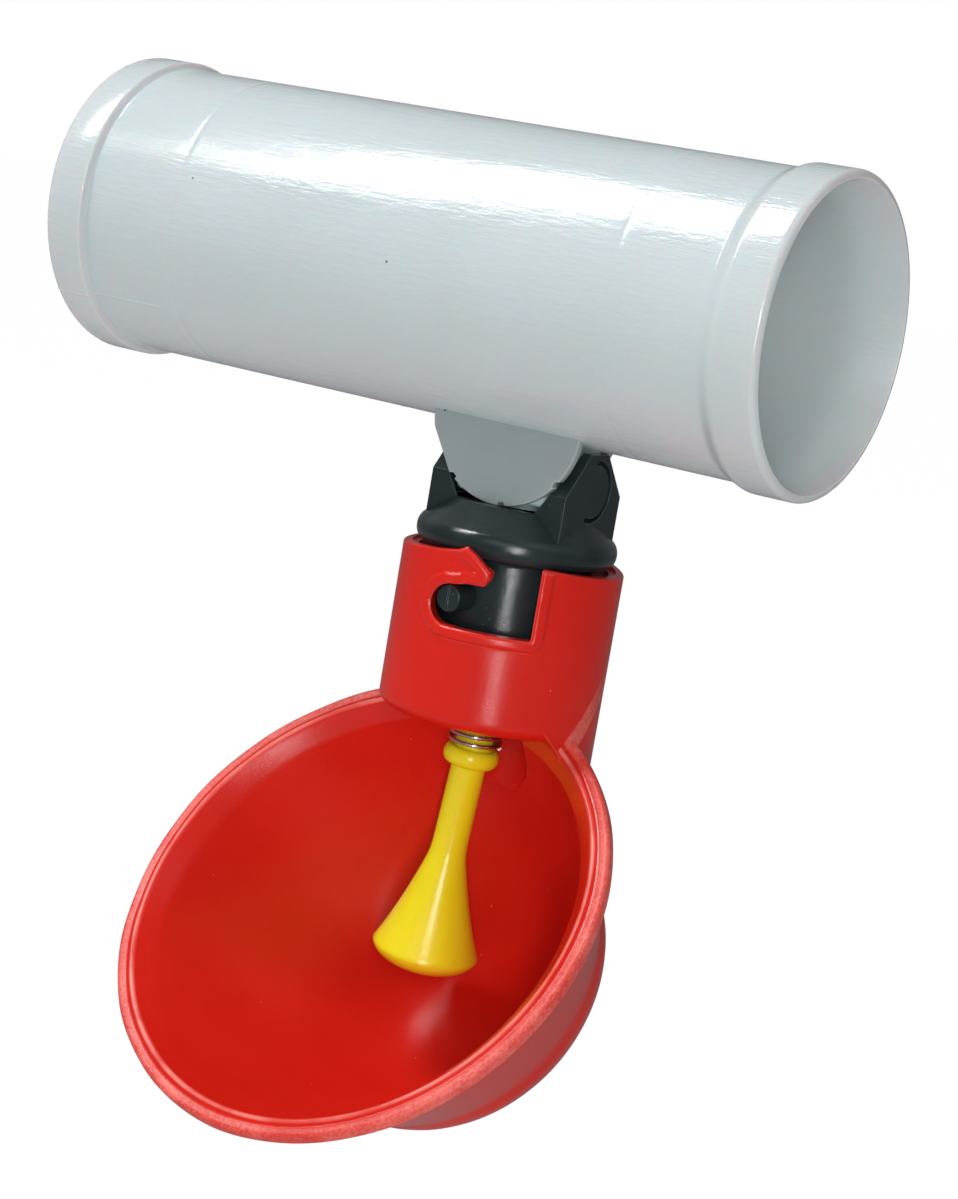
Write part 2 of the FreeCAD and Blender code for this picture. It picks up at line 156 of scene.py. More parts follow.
PLUG_Z = -32.845
TRIGGER_LEAN = math.radians(4.2)
CAP_TOP = -29.845
PIN_NECK_R = 0.9
PIN_NECK_BOTTOM = -35.6
STEM_TOP_R = 1.0
STEM_TOP_END = -41.9
NECK_R = 1.85
NECK_START = -42.8
BEAD_R = 2.75
BEAD_TOP = -45.6
BEAD_BOTTOM = -47.4
STEM_R = 1.72
FLARE_START = -56.6
BELL_R = 5.3
BELL_Z = -66.7
BELL_BOTTOM = -68.9
SPRING_R = 2.5                      # middle of the wire
WIRE_R = 0.225
WIRE_SIDES = 14
SPRING_LOW = -45.3

COLLAR_R = 10.75
COLLAR_INNER_R = 9.3
COLLAR_TOP = -26.35
COLLAR_BOTTOM = -42.2
COLLAR_FLOOR = -40.8
NOSE_HOLE_R = 4.79
LEAD_IN = 0.65                      # step that widens the collar's mouth
FRAME_WIDTH = 1.0                   # raised band round each bayonet slot
FRAME_RISE = 0.25
SLOT_PULL = math.radians(18.85)
SLOT_END = -5.15
SLOT_RIGHT = 4.95
SLOT_TOP = -28.55
SLOT_BOTTOM = -32.6
SLOT_END_R = 2.02

CUP_FACING = math.radians(-7.0)
RIM_TILT = math.radians(49.4)
RIM_R = 25.35
RIM_THICK = 1.9
RIM_HEIGHT = 1.5
RIM_REACH = RIM_R * math.cos(RIM_TILT) - 1.37
RIM_Z = -39.7 - RIM_R * math.sin(RIM_TILT)
BOWL_R = 24.0
BOWL_TAPER = 6.7
BOWL_KNEE = 16.3
BOWL_DEPTH = 26.4
BOWL_WALL = 1.4
BOWL_SHIFT = 0.9
BOWL_LEAN = math.radians(8.2)


# ---- shape helpers --------------------------------------------------------------------
def ease(t):
    """Half a cosine wave: 0 up to t = 0, 1 from t = 1 on."""
    return (1 - np.cos(math.pi * np.clip(t, 0, 1))) / 2


def ridge(x, place, half):
    """Bell curve of height 1 at a place."""
    return np.exp(-((x - place) / half) ** 2)


def rounded(corners, closed=True, steps=6, tight=0.04):
    """Outline through corners (a, b, radius).

    Each corner with a radius becomes an arc that touches both of its sides, with one more point a hair
    before and after it, so that flat stretches shade flat. An open outline's first and last corners only
    give its directions and are left out.
    """
    outline = []
    for i in range(len(corners)) if closed else range(1, len(corners) - 1):
        a, b, radius = corners[i]
        corner = np.array([a, b], float)
        back = np.array(corners[i - 1][:2], float) - corner
        ahead = np.array(corners[(i + 1) % len(corners)][:2], float) - corner
        back /= np.linalg.norm(back)
        ahead /= np.linalg.norm(ahead)
        if radius == 0:
            outline.append(corner[None])
            continue
        half = math.acos(np.clip(back @ ahead, -1, 1)) / 2
        middle = (back + ahead) / np.linalg.norm(back + ahead)
        centre = corner + middle * radius / math.sin(half)
        start = corner + back * radius / math.tan(half)
        end = corner + ahead * radius / math.tan(half)
        first = math.atan2(*(start - centre)[::-1])
        sweep = (math.atan2(*(end - centre)[::-1]) - first + math.pi) % TURN - math.pi
        turn = first + sweep * np.linspace(0, 1, steps + 1)
        arc = centre + radius * np.stack([np.cos(turn), np.sin(turn)], -1)
        outline.append(np.concatenate([[start + back * tight], arc, [end + ahead * tight]]))
    return np.concatenate(outline)


def grid_faces(rows, columns, ring_rows=False):
    """Four-sided faces of a grid of points whose columns join up into a ring, and its rows if asked."""
    row = np.arange(rows if ring_rows else rows - 1)[:, None]
    column = np.arange(columns)[None, :]
    below = (row + 1) % rows * columns
    beside = (column + 1) % columns
    corners = [row * columns + column, row * columns + beside, below + beside, below + column]
    return np.stack(np.broadcast_arrays(*corners), -1).reshape(-1, 4)


def turned(outline, count=192):
    """Points and faces of a (radius, height) outline carried round the Z axis.

    The outline closes on itself, or starts and ends on the axis.
    """
    turns = np.linspace(0, TURN, count, endpoint=False)
    radius, height = outline[:, 0, None], outline[:, 1, None]
    points = np.stack(np.broadcast_arrays(radius * np.cos(turns), radius * np.sin(turns), height), -1)
    on_axis = outline[0, 0] == 0 and outline[-1, 0] == 0
    return points.reshape(-1, 3), grid_faces(len(outline), count, ring_rows=not on_axis)


def add(thing):
    """Put an object into the scene."""
    bpy.context.scene.collection.objects.link(thing)
    return thing


def clean(mesh, doubles=0.0, slivers=0.0, outwards=True):
    """Merge a mesh's doubles and slivers, by sizes in metres, and turn its faces outwards."""
    whole = bmesh.new()
    whole.from_mesh(mesh)
    if doubles:
        bmesh.ops.remove_doubles(whole, verts=whole.verts, dist=doubles)
        bmesh.ops.dissolve_degenerate(whole, edges=whole.edges, dist=slivers)
    if outwards:
        bmesh.ops.recalc_face_normals(whole, faces=whole.faces)
    whole.to_mesh(mesh)
    whole.free()


def make_object(name, points, faces):
    """Object at the origin from points in millimetres, with its poles and seams merged."""
    mesh = bpy.data.meshes.new(name)
    faces = np.asarray(faces, np.int32)
    mesh.vertices.add(len(points))
    mesh.vertices.foreach_set("co", (np.asarray(points, float) * MM).astype(np.float32).ravel())
    mesh.loops.add(faces.size)
    mesh.loops.foreach_set("vertex_index", faces.ravel())
    mesh.polygons.add(len(faces))
    mesh.polygons.foreach_set("loop_start", np.arange(0, faces.size, faces.shape[1], dtype=np.int32))
    mesh.update(calc_edges=True)
    clean(mesh, 1e-6, 1e-7)
    return add(bpy.data.objects.new(name, mesh))


def prism(name, outline, low, high, lay):
    """Solid between two copies of an outline; lay(a, b, c) puts outline (a, b) at depth c in the frame."""
    count = len(outline)
    ends = [lay(outline[:, 0], outline[:, 1], np.full(count, depth)) for depth in (low, high)]
    points = np.concatenate([np.stack(end, -1) for end in ends])
    mesh = bpy.data.meshes.new(name)
    walls = grid_faces(2, count).tolist()
    caps = [list(range(count)), list(range(2 * count - 1, count - 1, -1))]
    mesh.from_pydata((points * MM).tolist(), [], walls + caps)
    clean(mesh)
    return add(bpy.data.objects.new(name, mesh))


def drum(name, radius, low, high, count=96):
    """Upright cylinder on the valve axis."""
    outline = np.array([(0, low), (radius, low), (radius, high), (0, high)], float)
    return make_object(name, *turned(outline, count=count))


def carve(piece, cutters, how="DIFFERENCE"):
    """Take cutters away from a piece, or join them to it, for good, and delete them."""
    for cutter in cutters:
        cut = piece.modifiers.new("cut", "BOOLEAN")
        cut.operation, cut.solver, cut.object = how, "EXACT", cutter
    bpy.context.view_layer.update()
    cut_piece = piece.evaluated_get(bpy.context.evaluated_depsgraph_get())
    cut_mesh = bpy.data.meshes.new_from_object(cut_piece)
    piece.modifiers.clear()
    piece.data = cut_mesh
    clean(cut_mesh, 2e-6, 1e-6, outwards=False)
    for cutter in cutters:
        bpy.data.objects.remove(cutter)


def soften(piece, width, crease=30):
    """Round a piece's hard edges by a small bevel that leaves its flats flat."""
    bevel = piece.modifiers.new("soft edges", "BEVEL")
    bevel.width = width * MM
    bevel.segments = 3
    bevel.limit_method = "ANGLE"
    bevel.angle_limit = math.radians(crease)
    bevel.harden_normals = True


def finish_piece(piece, material, body, stands_for=(), crease=35):
    """Give a piece its material, shading and body, and hide the CAD parts that it stands for."""
    piece.data.materials.clear()
    piece.data.materials.append(material)
    piece.data.polygons.foreach_set("use_smooth", np.ones(len(piece.data.polygons), bool))
    piece.data.set_sharp_from_angle(angle=math.radians(crease))
    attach(piece, body)
    if stands_for:
        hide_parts(*stands_for)


# ---- materials ------------------------------------------------------------------------
def tint(colour):
    """Plain colour with its fourth number; a node's output stays as it is."""
    return (*colour, 1) if isinstance(colour, tuple) else colour


class Nodes:
    """A node tree, with short ways to add nodes and to feed them."""

    def __init__(self, tree):
        self.tree = tree

    def plug(self, socket, value):
        """Link a socket to the output of a node, or set it to a plain value."""
        if isinstance(value, bpy.types.NodeSocket):
            self.tree.links.new(value, socket)
        else:
            socket.default_value = value

    def node(self, kind, *values, **settings):
        """New node with its settings, and with values for its first inputs."""
        made = self.tree.nodes.new(kind)
        for key, value in settings.items():
            setattr(made, key, value)
        for socket, value in zip(made.inputs, values):
            self.plug(socket, value)
        return made

    def feed(self, made, **values):
        """Values for a node's inputs by name; an underscore stands for a space."""
        for key, value in values.items():
            self.plug(made.inputs[key.replace("_", " ")], value)
        return made

    def math(self, how, a, b=0.0):
        return self.node("ShaderNodeMath", a, b, operation=how).outputs[0]


class Paint(Nodes):
    """A Principled material and the few nodes that its pattern needs, on Object coordinates."""

    def __init__(self, name):
        self.material = bpy.data.materials.new(name)
        self.material.use_nodes = True
        super().__init__(self.material.node_tree)
        self.shader = self.tree.nodes["Principled BSDF"]
        self.place = self.node("ShaderNodeTexCoord").outputs["Object"]

    def noise(self, size, detail=2.0, rough=0.5, place=None):
        """Soft noise whose blobs measure about size millimetres."""
        made = self.feed(self.node("ShaderNodeTexNoise"), Vector=place or self.place,
                         Scale=1 / (size * MM), Detail=detail, Roughness=rough)
        return made.outputs["Fac"]

    def flecks(self, size, share):
        """Small round flecks, 1 on a fleck: the share sets how much of each cell it covers."""
        cells = self.feed(self.node("ShaderNodeTexVoronoi"), Vector=self.place, Scale=1 / (size * MM))
        return self.ramp(cells.outputs["Distance"], share, share * 0.6)

    def ramp(self, value, start, end, low=0.0, high=1.0):
        """Smooth step from low at start to high at end, held flat outside."""
        if start > end:
            start, end, low, high = end, start, high, low
        made = self.feed(self.node("ShaderNodeMapRange", interpolation_type="SMOOTHSTEP"), Value=value,
                         From_Min=start, From_Max=end, To_Min=low, To_Max=high)
        return made.outputs["Result"]

    def uneven(self, cloud, low, high):
        """Roughness that wanders from low to high with a cloud."""
        return self.ramp(cloud, 0.3, 0.7, low, high)

    def polar(self, place):
        """Distance of a place from its Z axis, and its height along that axis."""
        flat = self.node("ShaderNodeVectorMath", place, (1, 1, 0), operation="MULTIPLY")
        length = self.node("ShaderNodeVectorMath", flat.outputs[0], operation="LENGTH")
        parts = self.node("ShaderNodeSeparateXYZ", place)
        return length.outputs["Value"], parts.outputs["Z"]

    def edges(self, width):
        """1 within about width millimetres of an edge: where a rounded normal leaves the true one."""
        soft = self.feed(self.node("ShaderNodeBevel", samples=4), Radius=width * MM)
        true = self.node("ShaderNodeNewGeometry")
        both = self.node("ShaderNodeVectorMath", soft.outputs["Normal"], true.outputs["Normal"],
                         operation="DOT_PRODUCT")
        return self.ramp(both.outputs["Value"], 0.985, 0.85)

    def spot(self, centre, radius):
        """1 inside a small round spot at a place in millimetres."""
        centre = tuple(value * MM for value in centre)
        away = self.node("ShaderNodeVectorMath", self.place, centre, operation="DISTANCE")
        return self.ramp(away.outputs["Value"], radius * MM, radius * 0.6 * MM)

    def stretched(self, along, across):
        """Object coordinates squeezed along X, so that a pattern is drawn out along the water line."""
        made = self.feed(self.node("ShaderNodeMapping"), Vector=self.place, Scale=(across / along, 1, 1))
        return made.outputs["Vector"]

    def mix(self, share, a, b):
        """Colour a where the share is 0 and colour b where it is 1."""
        made = self.node("ShaderNodeMix", data_type="RGBA")
        sockets = {socket.identifier: socket for socket in (*made.inputs, *made.outputs)}
        self.plug(sockets["Factor_Float"], share)
        self.plug(sockets["A_Color"], tint(a))
        self.plug(sockets["B_Color"], tint(b))
        return sockets["Result_Color"]

    def over(self, colour, mask, share, tone):
        """Lay a tone over a colour, by a share of it where the mask is 1."""
        return self.mix(self.math("MULTIPLY", mask, share), colour, tone)

    def bump(self, height, depth, under=None):
        """Raise the surface by up to depth millimetres where height is 1."""
        made = self.feed(self.node("ShaderNodeBump"), Height=height, Distance=depth * MM, Strength=1.0)
        if under:
            self.feed(made, Normal=under)
        return made.outputs["Normal"]

    def finish(self, colour, roughness, normal=None, **uniform):
        """Feed the shader; the uniform values are the same all over the surface."""
        self.feed(self.shader, Base_Color=tint(colour), Roughness=roughness, **uniform)
        if normal:
            self.feed(self.shader, Normal=normal)
        return self.material


def tee_white(name="tee_white", low=(0.50, 0.56, 0.575), high=(0.56, 0.62, 0.64), through=0.6):
    """Cool white moulded plastic that lets light through, with a few specks and lengthwise grain."""
    paint = Paint(name)
    cloud = paint.noise(16.0, 3.0)
    colour = paint.mix(cloud, low, high)
    for x, lift, radius in ((24.5, 9, 0.16), (28.3, 11, 0.12), (-34.6, 16, 0.14), (-10.2, -1, 0.16)):
        turn = math.radians(lift)
        centre = (x, -BARREL_R * math.cos(turn), BARREL_R * math.sin(turn))
        colour = paint.mix(paint.spot(centre, radius), colour, (0.12, 0.13, 0.13))
    colour = paint.mix(paint.spot((-7.0, -CHEEK_FRONT, -13.4), 0.17), colour, (0.01, 0.01, 0.01))
    # painted highlight: edges painted paler, as edges catching the light
    colour = paint.over(colour, paint.edges(0.2), 0.7, (0.88, 0.90, 0.90))
    drawn = paint.noise(0.5, 3.0, 0.6, paint.stretched(3.0, 0.5))
    grain = paint.bump(paint.noise(0.25, 2.0, 0.6), 0.012)
    normal = paint.bump(paint.noise(6.0, 1.0), 0.04, paint.bump(drawn, 0.05, grain))
    return paint.finish(colour, paint.uneven(cloud, 0.1, 0.16), normal,
                        Subsurface_Weight=through, Subsurface_Scale=0.003)


def body_black():
    """Blue-black moulded plastic, satin, with paler edges painted in as highlights, and pale dust specks.
    """
    paint = Paint("body_black")
    cloud = paint.noise(4.0, 3.0)
    colour = paint.mix(cloud, (0.006, 0.012, 0.013), (0.022, 0.034, 0.037))
    colour = paint.over(colour, paint.flecks(0.9, 0.05), 0.7, (0.25, 0.28, 0.28))
    # painted highlight: edges painted paler, as edges catching the light
    colour = paint.over(colour, paint.edges(0.12), 0.5, (0.30, 0.34, 0.34))
    grain = paint.bump(paint.noise(0.16, 3.0, 0.65), 0.014)
    normal = paint.bump(paint.noise(1.6, 1.0), 0.02, grain)
    return paint.finish(colour, paint.uneven(cloud, 0.12, 0.2), normal)


def cup_red():
    """Glossy red moulded plastic, rubbed pale along a band of the lip, with painted highlights along the
    lip's crest and on the edges, and fine flecks.
    """
    paint = Paint("cup_red")
    turn = (Matrix.Rotation(CUP_FACING, 3, "Z") @ Matrix.Rotation(RIM_TILT, 3, "X")).to_euler()
    centre = from_rim(np.zeros((1, 3)))[0] * MM
    rim = paint.feed(paint.node("ShaderNodeMapping", vector_type="TEXTURE"), Vector=paint.place,
                     Location=tuple(centre), Rotation=tuple(turn))
    from_axis, above = paint.polar(rim.outputs["Vector"])
    on_lip = paint.math("MULTIPLY", paint.ramp(above, -1.7 * MM, -1.2 * MM),
                        paint.ramp(above, 0.6 * MM, 0.3 * MM))
    band = paint.math("MULTIPLY", on_lip, paint.ramp(from_axis, (RIM_R - 1.3) * MM, (RIM_R - 0.8) * MM))
    from_crest = paint.math("ABSOLUTE", paint.math("SUBTRACT", from_axis, (RIM_R - 1.72) * MM))
    crest = paint.ramp(from_crest, 0.3 * MM, 0.1 * MM)
    cloud = paint.noise(14.0, 3.0)
    colour = paint.mix(cloud, (0.55, 0.010, 0.005), (0.68, 0.018, 0.009))
    scuff = paint.noise(0.3, 4.0, 0.7)
    patch = paint.noise(7.0, 3.0, 0.6)
    frost = paint.ramp(paint.math("ADD", patch, scuff), 0.75, 1.25)
    pale = paint.mix(frost, (0.62, 0.035, 0.025), (0.80, 0.15, 0.12))
    colour = paint.mix(band, colour, pale)
    # painted highlight: a pale line along the crest of the lip, broken up by the patch cloud
    crest_highlight = paint.math("MULTIPLY", crest, paint.ramp(patch, 0.35, 0.6, 0.3, 0.9))
    colour = paint.mix(paint.math("MULTIPLY", on_lip, crest_highlight), colour, (0.85, 0.22, 0.18))
    # painted highlight: edges painted paler, as edges catching the light
    colour = paint.over(colour, paint.edges(0.25), 0.55, (0.85, 0.16, 0.12))
    colour = paint.over(colour, paint.flecks(3.5, 0.03), 0.5, (0.9, 0.3, 0.22))
    grain = paint.bump(paint.noise(0.2, 3.0, 0.6), 0.02)
    normal = paint.bump(paint.noise(3.0, 1.0), 0.03, grain)
    normal = paint.bump(paint.math("MULTIPLY", band, scuff), 0.05, normal)
    rough = paint.math("ADD", paint.uneven(cloud, 0.17, 0.25), paint.math("MULTIPLY", band, 0.15))
    return paint.finish(colour, rough, normal, Subsurface_Weight=0.12, Subsurface_Scale=0.001,
                        Specular_IOR_Level=0.4)


def trigger_yellow():
    """Bright yellow moulded plastic, glossy, faintly see-through at its edges."""
    paint = Paint("trigger_yellow")
    cloud = paint.noise(5.0, 2.0)
    colour = paint.mix(cloud, (0.76, 0.66, 0.008), (0.84, 0.76, 0.016))
    normal = paint.bump(paint.noise(1.8, 1.0), 0.015, paint.bump(paint.noise(0.2, 3.0, 0.6), 0.02))
    return paint.finish(colour, paint.uneven(cloud, 0.15, 0.24), normal,
                        Subsurface_Weight=0.2, Subsurface_Scale=0.0015)


def bright_steel():
    """Drawn stainless wire: clean metal with fine lines."""
    paint = Paint("bright_steel")
    lines = paint.noise(0.12, 2.0)
    colour = paint.mix(lines, (0.62, 0.61, 0.59), (0.78, 0.77, 0.75))
    return paint.finish(colour, paint.uneven(lines, 0.16, 0.3), paint.bump(lines, 0.002), Metallic=1.0)


def seal_rubber():
    """Black sealing rubber, dull with a soft bloom."""
    paint = Paint("seal_rubber")
    bloom = paint.noise(0.8, 3.0)
    colour = paint.mix(bloom, (0.012, 0.012, 0.013), (0.035, 0.035, 0.036))
    return paint.finish(colour, paint.uneven(bloom, 0.5, 0.7), paint.bump(bloom, 0.01))


# ---- tee ------------------------------------------------------------------------------
def mouth_rounding(gap):
    """Drop of a surface near its end: a quarter circle of the mouth's rounding."""
    inside = np.clip(1 - gap / MOUTH_ROUND, 0, 1)
    return MOUTH_ROUND * (1 - np.sqrt(1 - inside ** 2))


def tee_barrel(material):
    """Barrel with a banded socket at each end.

    Radius along the outside: the barrel's, plus the left band up to a crisp step, plus the right band
    that fades in over half a cosine wave, less a shallow sink line over each pipe stop and the rounding
    of each mouth. A mould line runs along the left socket as a thin ridge at one angle.
    """
    ends = np.concatenate([np.linspace(0, MOUTH_ROUND, 9), MOUTH_ROUND + np.linspace(0.1, 1, 4)])
    step = TEE_LEFT + BAND_LENGTH
    fade = TEE_RIGHT - BAND_LENGTH - 1.6
    stops = (TEE_LEFT + SOCKET_DEPTH - 0.6, TEE_RIGHT - SOCKET_DEPTH)
    near = [stop + np.linspace(-0.8, 0.8, 13) for stop in stops]
    along = np.concatenate([TEE_LEFT + ends, TEE_RIGHT - ends, step + np.linspace(-0.3, 0.6, 13),
                            fade + np.linspace(-0.2, 2.2, 17), *near, np.linspace(step, fade, 60)])
    along = np.unique(along.round(4))
    banded = 1 - ease((along - step + 0.3) / 0.7) + ease((along - fade) / 2.0)
    outside = BARREL_R + BAND_RISE * banded
    for stop in stops:
        outside -= SINK * ridge(along, stop, 0.3)
    outside -= mouth_rounding(along - TEE_LEFT) + mouth_rounding(TEE_RIGHT - along)
    inside = rounded([(TEE_RIGHT, BAND_R, 0), (TEE_RIGHT, SOCKET_R + MOUTH_FLARE, 0.1),
                      (TEE_RIGHT - MOUTH_FLARE_LENGTH, SOCKET_R, 9),
                      (TEE_RIGHT - SOCKET_DEPTH + 0.5, SOCKET_R, 0.5),
                      (TEE_RIGHT - SOCKET_DEPTH - 0.5, STOP_R, 0.5),
                      (TEE_LEFT + SOCKET_DEPTH + 0.5, STOP_R, 0.5),
                      (TEE_LEFT + SOCKET_DEPTH - 0.5, SOCKET_R, 0.5),
                      (TEE_LEFT + MOUTH_FLARE_LENGTH, SOCKET_R, 9),
                      (TEE_LEFT, SOCKET_R + MOUTH_FLARE, 0.1), (TEE_LEFT, BAND_R, 0)], closed=False)
    turns = np.concatenate([np.linspace(0, TURN, 288, endpoint=False),
                            SEAM_TURN % TURN + np.linspace(-0.02, 0.02, 17)])
    turns = np.unique(turns.round(6))
    x = np.concatenate([along, inside[:, 0]])[:, None]
    radius = np.concatenate([outside, inside[:, 1]])[:, None] * np.ones_like(turns)
    seam = SEAM_RISE * ridge((turns - SEAM_TURN % TURN) * BARREL_R, 0, SEAM_HALF)
    fading = 1 - ease((along - TEE_LEFT - 12) / 4)
    radius[:len(along)] += fading[:, None] * seam
    points = np.stack([x * np.ones_like(turns), -radius * np.cos(turns), radius * np.sin(turns)], -1)
    faces = grid_faces(len(x), len(turns), ring_rows=True)
    piece = make_object("tee_barrel", points.reshape(-1, 3), faces)
    finish_piece(piece, material, "line_tee", ["tee"])


def cheek(name, side, plate_r, material):
    """Round plate under the barrel, as a star-shaped outline about a point inside it.

    The outline's distance from that point is the least of those to the plate's circle, to its straight
    left flank and to a level line hidden in the barrel's wall, less three small half-round nicks. The
    edges are rounded by a quarter circle.
    """
    turns = np.linspace(0, TURN, 720, endpoint=False)
    east, north = np.cos(turns), np.sin(turns)
    drop = CHEEK_HUB_Z - CHEEK_Z
    circle = -drop * north + np.sqrt(plate_r ** 2 - (drop * east) ** 2)
    outward = np.array([-math.cos(CHEEK_FLAT_LEAN), -math.sin(CHEEK_FLAT_LEAN)])
    facing = np.maximum(east * outward[0] + north * outward[1], 1e-6)
    flank = (CHEEK_FLAT - drop * outward[1]) / facing
    roof = (CHEEK_ROOF_Z - CHEEK_HUB_Z) / np.maximum(north, 1e-6)
    reach = np.minimum(np.minimum(circle, flank), roof)
    for degrees in NICK_DEGREES:
        nick = CHEEK_Z + plate_r * math.sin(math.radians(degrees)) - CHEEK_HUB_Z
        along = plate_r * math.cos(math.radians(degrees))
        gap = (turns - math.atan2(nick, along)) % TURN
        gap = np.minimum(gap, TURN - gap) * math.hypot(nick, along)
        reach -= NICK_DEPTH * (1 - ease((gap - NICK_HALF) / (NICK_HALF / 2)))
    corner = np.linspace(0, math.pi / 2, 6)
    rise, fall = CHEEK_ROUND * (1 - np.sin(corner)), CHEEK_ROUND * (1 - np.cos(corner))
    inset = np.concatenate([[FAR, 1.5, 0.5], rise, fall, [0.5, 1.5, FAR]])
    depth = np.concatenate([[0] * 3, fall, CHEEK_THICK - rise, [CHEEK_THICK] * 3])
    distance = np.maximum(reach - inset[:, None], 0)
    y = side * (CHEEK_FRONT - depth[:, None]) * np.ones_like(turns)
    points = np.stack([distance * east, y, CHEEK_HUB_Z + distance * north], -1)
    piece = make_object(name, points.reshape(-1, 3), grid_faces(len(inset), len(turns)))
    finish_piece(piece, material, "line_tee", crease=40)


def boss_core(material):
    """Boss that the clip grips, and its outlet nozzle.

    Plan: a rounded square whose distance from the axis is (|cos/a|^12 + |sin/b|^12)^(-1/12). It runs
    down to a rounded edge, then in to the nozzle's circle and down to its chamfered end.
    """
    turns = np.linspace(0, TURN, 192, endpoint=False)
    east, north = np.cos(turns) / CORE_HALF[0], np.sin(turns) / CORE_HALF[1]
    square = (np.abs(east) ** 12 + np.abs(north) ** 12) ** (-1 / 12)
    corner = np.linspace(0, math.pi / 2, 6)
    soft = 0.5
    inset = np.concatenate([[FAR, 0, 0], soft * (1 - np.cos(corner))])
    height = np.concatenate([[CORE_TOP, CORE_TOP, CORE_BOTTOM + 1],
                             CORE_BOTTOM + soft - soft * np.sin(corner)])
    above = np.maximum(square - inset[:, None], 0)
    nozzle = rounded([(CORE_HALF[1], CORE_BOTTOM, 0), (NOZZLE_R, CORE_BOTTOM, 0.3),
                      (NOZZLE_R, NOZZLE_BOTTOM, 0.4), (NOZZLE_BORE_R, NOZZLE_BOTTOM, 0.3),
                      (NOZZLE_BORE_R, NOZZLE_BORE_TOP, 0), (0, NOZZLE_BORE_TOP, 0), (0, CORE_BOTTOM, 0)],
                     closed=False)
    below = nozzle[:, 0, None] * np.ones_like(turns)
    radius = np.concatenate([above, below])
    z = np.concatenate([height, nozzle[:, 1]])[:, None] * np.ones_like(turns)
    points = np.stack([radius * np.cos(turns), radius * np.sin(turns), z], -1)
    piece = make_object("tee_boss_core", points.reshape(-1, 3), grid_faces(len(z), len(turns)))
    finish_piece(piece, material, "line_tee")


# ---- valve body -----------------------------------------------------------------------
def valve_barrel(material):
    """Conical flange with a rounded rim, spigot, nose, sealing chamber, port and spring pocket."""
    swing = np.radians(np.linspace(70, -62, 22))
    shoulder = FLANGE_TOP - (SHOULDER_R - FLANGE_TOP_R)
    half_z = (shoulder - FLANGE_BOTTOM) / 2
    rim_r = SHOULDER_R - 0.25 + 1.01 * np.cos(swing)
    rim = np.stack([rim_r, shoulder - half_z + half_z * np.sin(swing)], -1)
    top = rounded([(CHAMBER_R, WEB_TOP, 0), (CHAMBER_R, FLANGE_TOP, 0.2), (FLANGE_TOP_R, FLANGE_TOP, 0.25),
                   (SHOULDER_R, shoulder, 0)], closed=False)
    below = rounded([(SHOULDER_R, FLANGE_BOTTOM, 0), (SPIGOT_R, FLANGE_BOTTOM, 0.35),
                     (SPIGOT_R, SPIGOT_BOTTOM, 0.5), (NOSE_R, SPIGOT_BOTTOM, 0.2),
                     (NOSE_R, NOSE_BOTTOM, 0.3), (RECESS_R, NOSE_BOTTOM, 0.15),
                     (RECESS_R, WEB_BOTTOM, 0.15), (PORT_R, WEB_BOTTOM, 0.1), (PORT_R, WEB_TOP, 0.1),
                     (CHAMBER_R, WEB_TOP, 0.2), (CHAMBER_R, FLANGE_TOP, 0)], closed=False)
    piece = make_object("valve_barrel", *turned(np.concatenate([top, rim, below]), count=224))
    finish_piece(piece, material, "line_tee", ["valve_body"])


def arc(centre, radius, first, last, count):
    """Points along an arc, angles in degrees."""
    swing = np.radians(np.linspace(first, last, count))
    return np.stack([centre[0] + radius * np.cos(swing), centre[1] + radius * np.sin(swing)], -1)


def clip_block(material):
    """Saddle with gabled ears, a vee through its front and back, a pocket and a C slit in each ear."""
    gable = np.array([(-BLOCK_HALF_Y, BLOCK_ROOT), (-BLOCK_HALF_Y, GABLE_LOW), (-GABLE_HALF, EAR_TOP),
                      (GABLE_HALF, EAR_TOP), (BLOCK_HALF_Y, GABLE_LOW), (BLOCK_HALF_Y, BLOCK_ROOT)])
    vee = np.array([(-4.4, FLANGE_TOP), (-6.0, -18.6), (-6.7, EAR_TOP + 1),
                    (6.7, EAR_TOP + 1), (6.0, -18.6), (4.4, FLANGE_TOP)])
    pocket = np.array([(-1, -1), (1, -1), (1, 1), (-1, 1)]) * POCKET_HALF
    piece = prism("clip_block", gable, -BLOCK_HALF_X, BLOCK_HALF_X, lambda a, b, c: (c, a, b))
    cutters = [prism("vee", vee, -BLOCK_HALF_Y - 1, BLOCK_HALF_Y + 1, lambda a, b, c: (a, c, b)),
               prism("pocket", pocket, FLANGE_TOP, EAR_TOP + 1, lambda *place: place),
               drum("chamber", CHAMBER_R, BLOCK_ROOT - 1, FLANGE_TOP + 0.5)]
    slit = np.concatenate([arc((0, TONGUE_Z), TONGUE_R + SLIT_HALF, -112, 96, 40),
                           arc((0, TONGUE_Z), TONGUE_R - SLIT_HALF, 96, -112, 40)])
    for side in (-1, 1):
        cutters.append(prism("slit", slit, side * (BLOCK_HALF_X - 0.8), side * (BLOCK_HALF_X + 1),
                             lambda a, b, c: (c, a, b)))
    carve(piece, cutters)
    soften(piece, 0.14)
    finish_piece(piece, material, "line_tee", crease=30)


